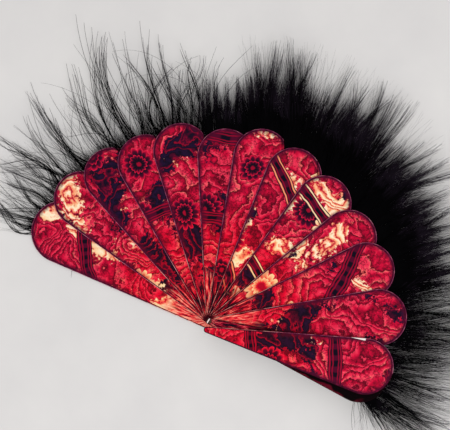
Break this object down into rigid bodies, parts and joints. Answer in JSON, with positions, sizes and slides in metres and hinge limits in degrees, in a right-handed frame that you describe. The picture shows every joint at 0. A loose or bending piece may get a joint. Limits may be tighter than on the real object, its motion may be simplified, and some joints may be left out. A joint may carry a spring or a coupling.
{
  "type": "folding fan",
  "caption": "Small open folding fan of overlapping teardrop card blades on one rivet, with a black down feather tuft behind each blade tip; the blades fold into one stack.",
  "frame": {"origin": "on the pivot axis, on the flat back of the rivet head", "axes": "+Z from the back of the fan to its printed front, along the pivot; +Y along the middle of the open fan; +X to the right seen from the front"},
  "size_m": [0.2008, 0.1181, 0.01],
  "materials": {
    "printed_card": "gloss print",
    "dark_card": "matte",
    "down": "soft down",
    "foam": "foam",
    "brass": "antiqued"
  },
  "bodies": {
    "rear_guard": {"blade_01_rear_guard": "printed_card", "tuft_01": "down", "pivot_rivet": "brass", "rivet_burr": "brass"},
    "fan_blade_02": {"blade_02": "printed_card", "tuft_02": "down"},
    "fan_blade_03": {"blade_03": "printed_card", "tuft_03": "down"},
    "fan_blade_04": {"blade_04": "printed_card", "tuft_04": "down"},
    "fan_blade_05": {"blade_05": "printed_card", "tuft_05": "down"},
    "fan_blade_06": {"blade_06": "printed_card", "tuft_06": "down"},
    "fan_blade_07": {"blade_07": "printed_card", "tuft_07": "down"},
    "fan_blade_08": {"blade_08": "printed_card", "tuft_08": "down"},
    "fan_blade_09": {"blade_09": "printed_card", "tuft_09": "down"},
    "fan_blade_10": {"blade_10": "printed_card", "tuft_10": "down"},
    "fan_blade_11": {"blade_11": "printed_card", "tuft_11": "down"},
    "fan_blade_12": {"blade_12": "printed_card", "tuft_12": "down"},
    "front_guard": {"blade_13_front_guard": "printed_card", "guard_pad": "foam", "guard_backing": "dark_card", "tuft_13": "down"}
  },
  "joints": [
    {"name": "fan_fold", "type": "hinge", "parent": "rear_guard", "child": "front_guard", "pos_m": [0, 0, 0], "axis": [0, 0, 1], "range_deg": [0, 165]},
    {"name": "blade_02_fold", "type": "hinge", "parent": "rear_guard", "child": "fan_blade_02", "pos_m": [0, 0, 0], "axis": [0, 0, 1], "range_deg": [0, 12.5]},
    {"name": "blade_03_fold", "type": "hinge", "parent": "rear_guard", "child": "fan_blade_03", "pos_m": [0, 0, 0], "axis": [0, 0, 1], "range_deg": [0, 25]},
    {"name": "blade_04_fold", "type": "hinge", "parent": "rear_guard", "child": "fan_blade_04", "pos_m": [0, 0, 0], "axis": [0, 0, 1], "range_deg": [0, 37]},
    {"name": "blade_05_fold", "type": "hinge", "parent": "rear_guard", "child": "fan_blade_05", "pos_m": [0, 0, 0], "axis": [0, 0, 1], "range_deg": [0, 49.5]},
    {"name": "blade_06_fold", "type": "hinge", "parent": "rear_guard", "child": "fan_blade_06", "pos_m": [0, 0, 0], "axis": [0, 0, 1], "range_deg": [0, 64.5]},
    {"name": "blade_07_fold", "type": "hinge", "parent": "rear_guard", "child": "fan_blade_07", "pos_m": [0, 0, 0], "axis": [0, 0, 1], "range_deg": [0, 76.5]},
    {"name": "blade_08_fold", "type": "hinge", "parent": "rear_guard", "child": "fan_blade_08", "pos_m": [0, 0, 0], "axis": [0, 0, 1], "range_deg": [0, 89]},
    {"name": "blade_09_fold", "type": "hinge", "parent": "rear_guard", "child": "fan_blade_09", "pos_m": [0, 0, 0], "axis": [0, 0, 1], "range_deg": [0, 103]},
    {"name": "blade_10_fold", "type": "hinge", "parent": "rear_guard", "child": "fan_blade_10", "pos_m": [0, 0, 0], "axis": [0, 0, 1], "range_deg": [0, 118]},
    {"name": "blade_11_fold", "type": "hinge", "parent": "rear_guard", "child": "fan_blade_11", "pos_m": [0, 0, 0], "axis": [0, 0, 1], "range_deg": [0, 131]},
    {"name": "blade_12_fold", "type": "hinge", "parent": "rear_guard", "child": "fan_blade_12", "pos_m": [0, 0, 0], "axis": [0, 0, 1], "range_deg": [0, 147.5]}
  ],
  "couplings": [
    {"joint": "blade_02_fold", "follows": "fan_fold", "ratio": 0.075757},
    {"joint": "blade_03_fold", "follows": "fan_fold", "ratio": 0.15152},
    {"joint": "blade_04_fold", "follows": "fan_fold", "ratio": 0.22424},
    {"joint": "blade_05_fold", "follows": "fan_fold", "ratio": 0.3},
    {"joint": "blade_06_fold", "follows": "fan_fold", "ratio": 0.39091},
    {"joint": "blade_07_fold", "follows": "fan_fold", "ratio": 0.46364},
    {"joint": "blade_08_fold", "follows": "fan_fold", "ratio": 0.53939},
    {"joint": "blade_09_fold", "follows": "fan_fold", "ratio": 0.62424},
    {"joint": "blade_10_fold", "follows": "fan_fold", "ratio": 0.71515},
    {"joint": "blade_11_fold", "follows": "fan_fold", "ratio": 0.79394},
    {"joint": "blade_12_fold", "follows": "fan_fold", "ratio": 0.89394}
  ]
}
